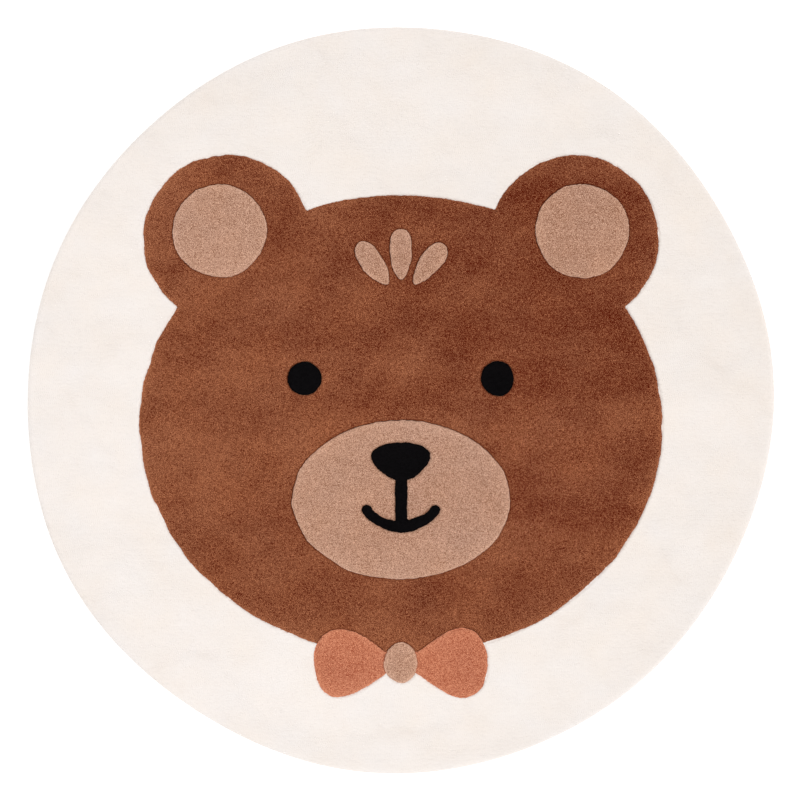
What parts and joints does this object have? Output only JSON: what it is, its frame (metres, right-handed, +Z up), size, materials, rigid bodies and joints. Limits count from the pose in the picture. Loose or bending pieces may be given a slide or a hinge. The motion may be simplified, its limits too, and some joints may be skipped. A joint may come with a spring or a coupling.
{
  "type": "children's rug",
  "caption": "Round flat rug of cut pile for a child's room, with a bear's head in coloured yarn and a shallow groove carved along each line between colours.",
  "frame": {"origin": "middle of the rug's outline, on the floor under it", "axes": "+Z up out of the pile, +Y towards the top of the bear's head, +X to the right of a viewer who looks down on it with the head upright"},
  "size_m": [1.2024, 1.202, 0.014],
  "materials": {
    "cream_yarn": "matt cut pile of soft yarn, cream",
    "brown_yarn": "matt cut pile of soft yarn, chestnut brown, lighter and darker where the pile leans",
    "tan_yarn": "matt cut pile of soft yarn, pinkish tan",
    "coral_yarn": "matt cut pile of soft yarn, coral",
    "black_yarn": "matt cut pile of soft yarn, black",
    "cotton_canvas": "matt plain-woven backing cloth, unbleached"
  },
  "bodies": {
    "root": {"rug": "cream_yarn"}
  },
  "joints": []
}
